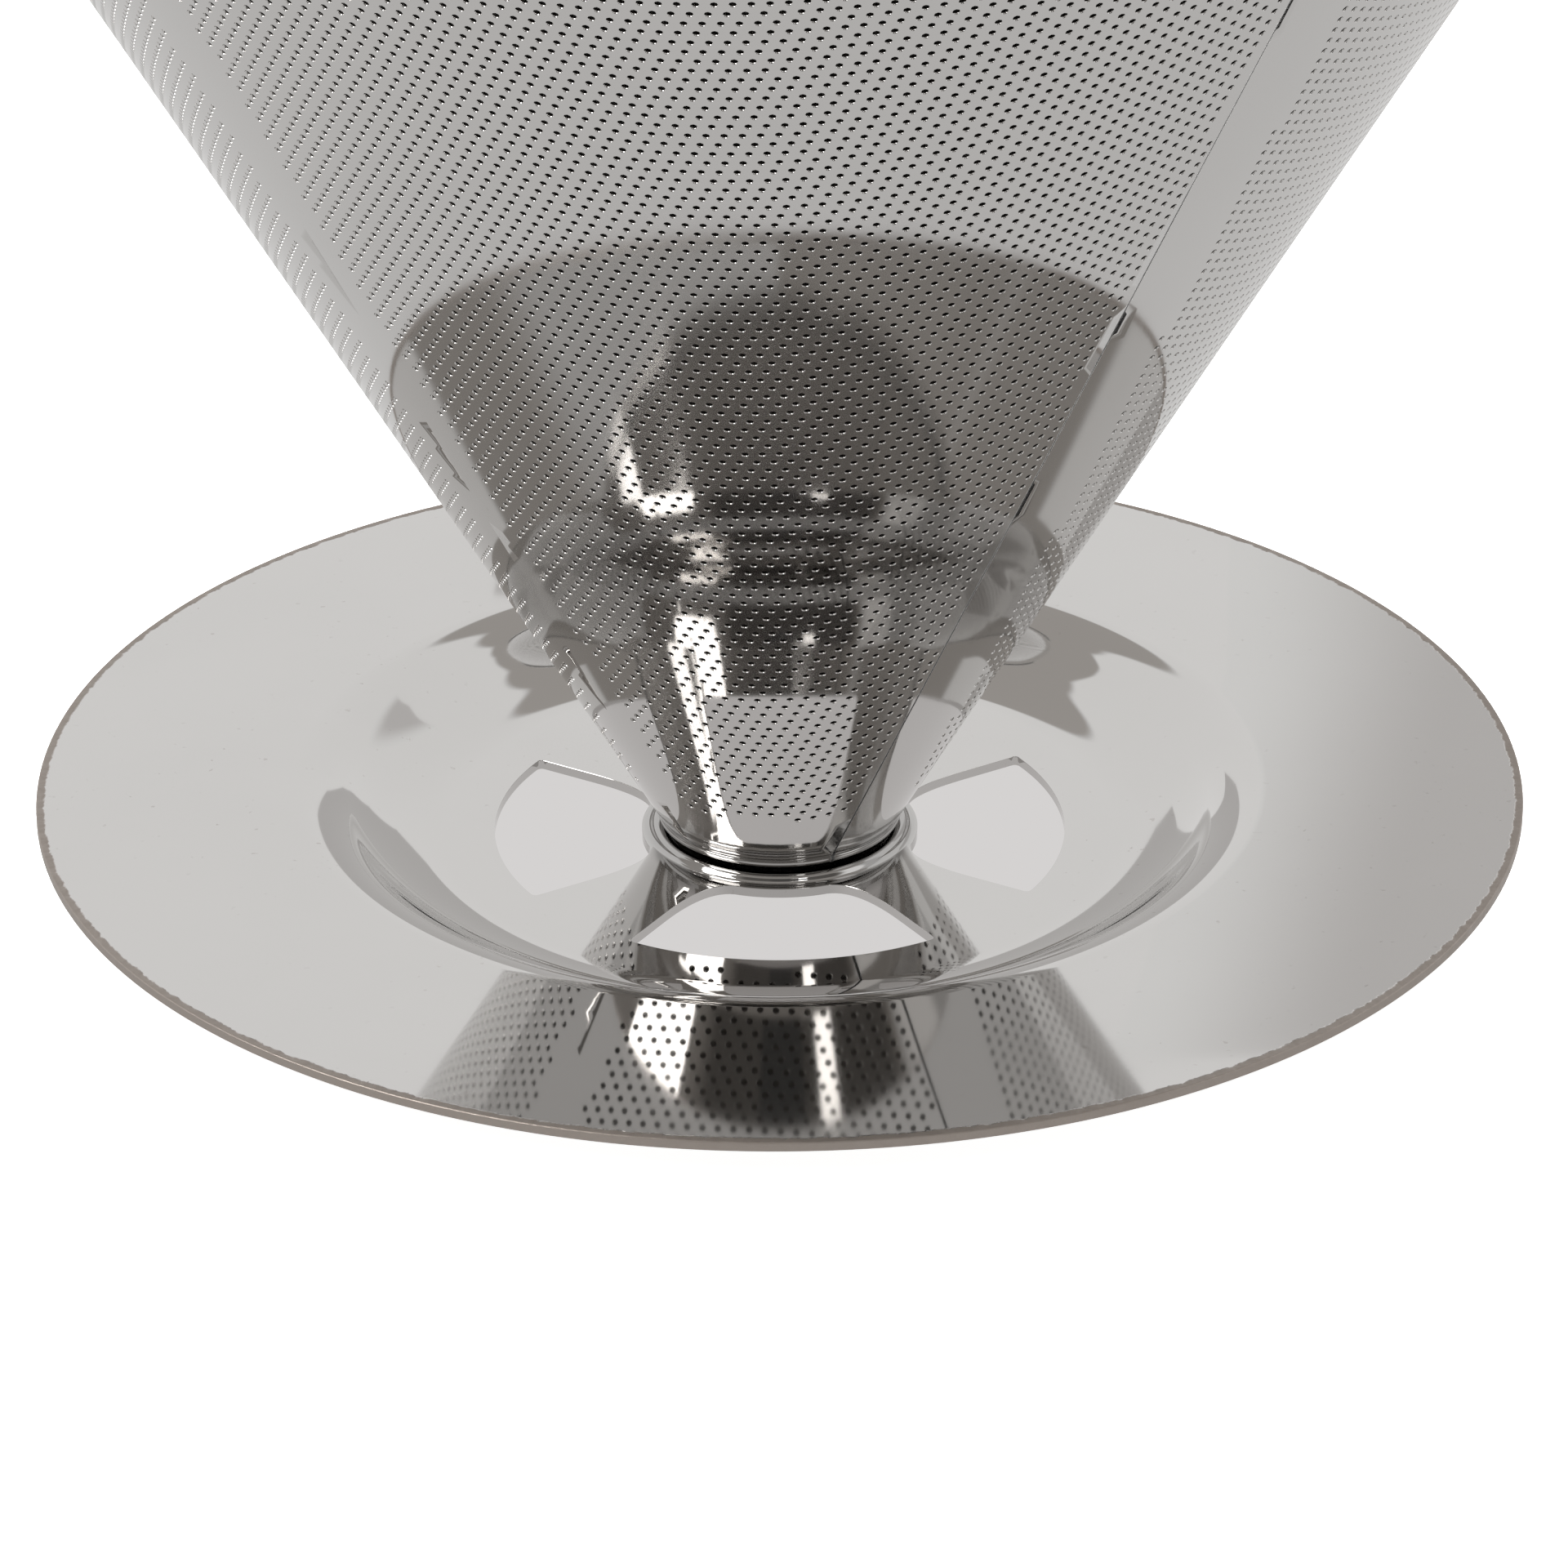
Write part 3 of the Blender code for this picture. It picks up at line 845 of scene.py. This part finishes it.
def window_outline(inner, outer, angle):
    """Flat outline in metres of one drip window: a sector of a ring with rounded corners."""
    half = math.radians(31.5)
    wide, tall, tip = 0.0028 / inner, 0.0066, 0.0005

    def at(radius, turn):
        return np.array([radius * math.cos(turn + angle), radius * math.sin(turn + angle)])

    def corner(before, middle, after, steps):
        t = np.linspace(0.0, 1.0, steps + 1)[:, None]
        return before * (1.0 - t) ** 2 + middle * 2.0 * t * (1.0 - t) + after * t**2

    ends = half - tip / outer
    rows = [[at(outer, turn) for turn in np.linspace(-ends, ends, 41)[1:-1]]]
    rows.append(corner(at(outer, ends), at(outer, half), at(outer - tip, half), 5))
    rows.append(corner(at(inner + tall, half), at(inner, half), at(inner, half - wide), 14))
    rows.append([at(inner, turn) for turn in np.linspace(half - wide, wide - half, 21)[1:-1]])
    rows.append(corner(at(inner, wide - half), at(inner, -half), at(inner + tall, -half), 14))
    rows.append(corner(at(outer - tip, -half), at(outer, -half), at(outer, -ends), 5))
    return np.concatenate([np.asarray(row) for row in rows])


def pierced_floor(skin, inner, outer, low, high, windows, segments):
    """Level floor between two radii with windows through it, and the windows' walls."""
    turns = np.arange(segments) * math.tau / segments
    ring = np.stack([np.cos(turns), np.sin(turns)], -1)
    loops = [ring * outer / MM, ring * inner / MM] + [w / MM for w in windows]
    flat, faces = triangulate(loops)
    flat = flat * MM
    up = np.zeros((len(flat), 3))
    up[:, 2] = 1.0
    for height, order, sign in ((high, [0, 1, 2], 1.0), (low, [2, 1, 0], -1.0)):
        places = np.column_stack([flat, np.full(len(flat), height)])
        skin.add(places[faces][:, order], sign * up[faces][:, order])
    for window in windows:
        after = np.roll(window, -1, 0)
        before = np.roll(window, 1, 0)
        way = after - before
        way /= np.linalg.norm(way, axis=1)[:, None]
        aside = np.column_stack([-way[:, 1], way[:, 0], np.zeros(len(way))])
        lip = 0.00008
        levels = [(high, 1.0), (high - lip, 0.0), (low + lip, 0.0), (low, -1.0)]
        rows, bends = [], []
        for height, lean in levels:
            rows.append(np.column_stack([window, np.full(len(window), height)]))
            bend = aside * (1.0 if lean == 0.0 else 0.7)
            bend[:, 2] = lean * 0.7
            bends.append(bend)
        nxt = np.roll(np.arange(len(window)), -1)
        for i in range(len(levels) - 1):
            quad = np.stack([rows[i], rows[i][nxt], rows[i + 1][nxt], rows[i + 1]], 1)
            norm = np.stack([bends[i], bends[i][nxt], bends[i + 1][nxt], bends[i + 1]], 1)
            skin.add(quad, norm)


class DripperMakeStand(bpy.types.Operator):
    """Makes the pressed cup stand with its drip windows."""

    bl_idname = "dripper.make_stand"
    bl_label = "Cup stand"

    def execute(self, context):
        sizes = context.scene.dripper_sizes
        segments = sizes.segments
        sheet, floor, brim = 0.0008, 0.0008, STAND_HIGH.z
        hub_top, hole = 0.0015, 0.00215
        edge = STAND_HIGH.x
        slope, shoulder, well = math.radians(42.0), 0.0070, 0.0394
        bend_centre = (well, brim - shoulder)
        fillet = (brim - floor) / (1.0 - math.cos(slope)) - shoulder
        floor_radius = well - (shoulder + fillet) * math.sin(slope)
        fillet_centre = (floor_radius, floor + fillet)
        top = arc(fillet_centre, fillet, -QUARTER, slope - QUARTER, 20)
        top += arc(bend_centre, shoulder, QUARTER + slope, QUARTER, 20)[1:]
        under = arc(fillet_centre, fillet + sheet, -QUARTER, slope - QUARTER, 20)
        under += arc(bend_centre, shoulder - sheet, QUARTER + slope, QUARTER, 20)[1:]
        lip = 0.00012
        skin = Skin()
        under_hub = easy_step((sizes.hub_radius - 0.0004, hub_top - sheet), (sizes.hub_edge, 0.0), 6)
        skin.spin([(hole, hub_top - sheet), (sizes.hub_radius - 0.0004, hub_top - sheet)], segments)
        skin.spin(under_hub, segments)
        skin.spin(under, segments)
        skin.spin([(well, brim - sheet), (edge - lip, brim - sheet)], segments)
        skin.spin(arc((edge - lip, brim - sheet + lip), lip, -QUARTER, 0.0, 4), segments)
        skin.spin([(edge, brim - sheet + lip), (edge, brim - lip)], segments)
        skin.spin(arc((edge - lip, brim - lip), lip, 0.0, QUARTER, 4), segments)
        skin.spin([(edge - lip, brim), (well, brim)], segments)
        skin.spin(top[::-1], segments)
        skin.spin(easy_step((sizes.hub_edge, floor), (sizes.hub_radius, hub_top), 8), segments)
        skin.spin([(sizes.hub_radius, hub_top), (hole, hub_top)], segments)
        skin.spin([(hole, hub_top), (hole, hub_top - sheet)], segments)
        windows = [window_outline(0.0112, floor_radius - 0.004, i * QUARTER) for i in range(4)]
        pierced_floor(skin, sizes.hub_edge, floor_radius, 0.0, floor, windows, segments)
        finish = stand_finish(context.scene.dripper_colours)
        piece("pressed_stand", skin, finish, "stand", "stand_steel", "cup_stand")
        return {"FINISHED"}


class DripperMakeCone(bpy.types.Operator):
    """Makes the perforated cone as four panels of one rolled sheet, and the bead at its foot."""

    bl_idname = "dripper.make_cone"
    bl_label = "Perforated cone"

    def execute(self, context):
        sizes = context.scene.dripper_sizes
        finish = cone_finish(context.scene.dripper_colours)
        first, eighth = math.radians(-24.4), math.radians(45.0)
        left_of_seam = (SEAM_TURN, (SEAM_OFFSET - SEAM_GAP / 2.0) / MM)
        right_of_seam = (SEAM_TURN, (SEAM_OFFSET + SEAM_GAP / 2.0) / MM)
        # Left and right edges, plain margins beside them, turn of the rows, sink under the neighbour
        panels = (
            ("cone_panel_front", (first, 0.3), left_of_seam, (2.6, 0.36), 0.0, 0.0),
            ("cone_panel_right", right_of_seam, (first + 2 * eighth, 0.3), (6.1, 2.6), 5.0, 0.14),
            ("cone_panel_back", (first + 2 * eighth, 0.3), (first + 3 * eighth, 0.3), (2.6, 2.6), 0.0, 0.0),
            ("cone_panel_left", (first + 3 * eighth, 0.3), (first + 4 * eighth, 0.3), (2.6, 2.6), 0.0, 0.0),
        )
        for name, left, right, margins, skew, sink in panels:
            skin = Skin()
            sheet_panel(skin, sizes, left, right, margins, skew, sink)
            piece(name, skin, finish, "cone", "cone_steel", "outer_cone")
        bead = Skin()
        neck = sizes.sheet_start * math.cos(CONE_SLOPE) + APEX - FOOT_PLANE
        round_radius = 0.00045
        line = on_cone(round_radius, 0.0)[0]
        centre = (line + 0.0002 - round_radius, FOOT_PLANE + round_radius)
        run = [on_cone(neck, sizes.sheet), on_cone(neck * 0.98, sizes.sheet)]
        run += arc(centre, round_radius, -math.pi, math.radians(28.0), 20)
        bead.spin(run, sizes.segments)
        bead.spin([run[-1], on_cone(neck, 0.0)], sizes.segments)
        bead.spin([on_cone(neck, 0.0), on_cone(neck, sizes.sheet)], sizes.segments)
        piece("cone_foot_bead", bead, finish, "cone", "cone_steel", "outer_cone")
        return {"FINISHED"}


class DripperMakeMesh(bpy.types.Operator):
    """Makes the fine inner mesh."""

    bl_idname = "dripper.make_mesh"
    bl_label = "Inner mesh"

    def execute(self, context):
        sizes = context.scene.dripper_sizes
        front, back = MESH_FRONT, MESH_BACK
        low, high = MESH_LOW.z - FOOT_PLANE, MESH_HIGH.z - FOOT_PLANE
        skin = Skin()
        skin.spin([on_cone(low, front), on_cone(high, front)], sizes.segments)
        skin.spin([on_cone(high, front), on_cone(high, back)], sizes.segments)
        skin.spin([on_cone(high, back), on_cone(low, back)], sizes.segments)
        skin.spin([on_cone(low, back), on_cone(low, front)], sizes.segments)
        finish = mesh_finish(context.scene.dripper_colours)
        piece("woven_mesh", skin, finish, "cone", "mesh_steel", "inner_mesh")
        return {"FINISHED"}


class DripperMakeRim(bpy.types.Operator):
    """Makes the rim band folded over the top edges of the cones."""

    bl_idname = "dripper.make_rim"
    bl_label = "Rim band"

    def execute(self, context):
        sizes = context.scene.dripper_sizes
        sheet, gap, depth = 0.0005, 0.00015, 0.00075
        top = CONE_HIGH.z - FOOT_PLANE
        leg = RIM_LOW.z - FOOT_PLANE
        fold = top + 0.0006
        outer, inner = on_cone(fold, -gap - sheet), on_cone(fold, depth + sheet)
        middle = ((outer[0] + inner[0]) / 2.0, outer[1])
        radius = (outer[0] - inner[0]) / 2.0
        hem = sheet / 2.0
        skin = Skin()
        skin.spin([on_cone(leg + hem, -gap - sheet)] + arc(middle, radius, 0.0, math.pi, 20), sizes.segments)
        skin.spin([inner, on_cone(leg + hem, depth + sheet)], sizes.segments)
        inner_hem = [on_cone(leg + hem, depth + sheet), on_cone(leg, depth + hem), on_cone(leg + hem, depth)]
        skin.spin(inner_hem, sizes.segments)
        hollow = [on_cone(leg + hem, depth)] + arc(middle, radius - sheet, math.pi, 0.0, 16)
        skin.spin(hollow + [on_cone(leg + hem, -gap)], sizes.segments)
        outer_hem = [on_cone(leg + hem, -gap), on_cone(leg, -gap - hem), on_cone(leg + hem, -gap - sheet)]
        skin.spin(outer_hem, sizes.segments)
        finish = pressed_finish("rim_polished_steel", context.scene.dripper_colours.steel, 0.10)
        piece("folded_rim", skin, finish, "cone", "rim_steel", "rim_band")
        return {"FINISHED"}


class DripperFinishFoot(bpy.types.Operator):
    """Gives the foot's small parts their finishes."""

    bl_idname = "dripper.finish_foot"
    bl_label = "Foot"

    def execute(self, context):
        colours = context.scene.dripper_colours
        finishes = {
            "hub_stud": pressed_finish("stud_turned_steel", colours.dark_steel, 0.28),
            "foot_nut": pressed_finish("nut_plain_steel", colours.dark_steel, 0.32),
            "foot_cup": pressed_finish("cup_pressed_steel", colours.dark_steel, 0.24),
            "tip_cover": pressed_finish("cover_pressed_steel", colours.steel, 0.18),
            "foot_washer": silicone_finish(colours),
        }
        for node, finish in finishes.items():
            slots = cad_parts[node].material_slots
            if not slots:
                raise RuntimeError(f"{node} has no material slot")
            for slot in slots:
                slot.material = finish
        return {"FINISHED"}


OPERATORS = (
    DripperMakeStage,
    DripperMakeStand,
    DripperMakeCone,
    DripperMakeMesh,
    DripperMakeRim,
    DripperFinishFoot,
)


class DripperPanel(bpy.types.Panel):
    """Lists the pieces and the stage."""

    bl_idname = "VIEW3D_PT_dripper"
    bl_label = "Pour-over dripper"
    bl_space_type = "VIEW_3D"
    bl_region_type = "UI"
    bl_category = "Dripper"

    def draw(self, context):
        for operator in OPERATORS:
            self.layout.operator(operator.bl_idname)
        for group in (context.scene.dripper_sizes, context.scene.dripper_colours, context.scene.dripper_stage):
            box = self.layout.box()
            for key in group.bl_rna.properties.keys():
                if key not in {"rna_type", "name"}:
                    box.prop(group, key)


CLASSES = (DripperSizes, DripperColours, DripperStage, *OPERATORS, DripperPanel)


def register():
    for item in CLASSES:
        bpy.utils.register_class(item)
    bpy.types.Scene.dripper_sizes = PointerProperty(type=DripperSizes)
    bpy.types.Scene.dripper_colours = PointerProperty(type=DripperColours)
    bpy.types.Scene.dripper_stage = PointerProperty(type=DripperStage)


def unregister():
    del bpy.types.Scene.dripper_stage
    del bpy.types.Scene.dripper_colours
    del bpy.types.Scene.dripper_sizes
    for item in reversed(CLASSES):
        bpy.utils.unregister_class(item)


def main():
    register()
    for operator in OPERATORS:
        group, name = operator.bl_idname.split(".")
        getattr(getattr(bpy.ops, group), name)()


if __name__ == "__main__":
    main()
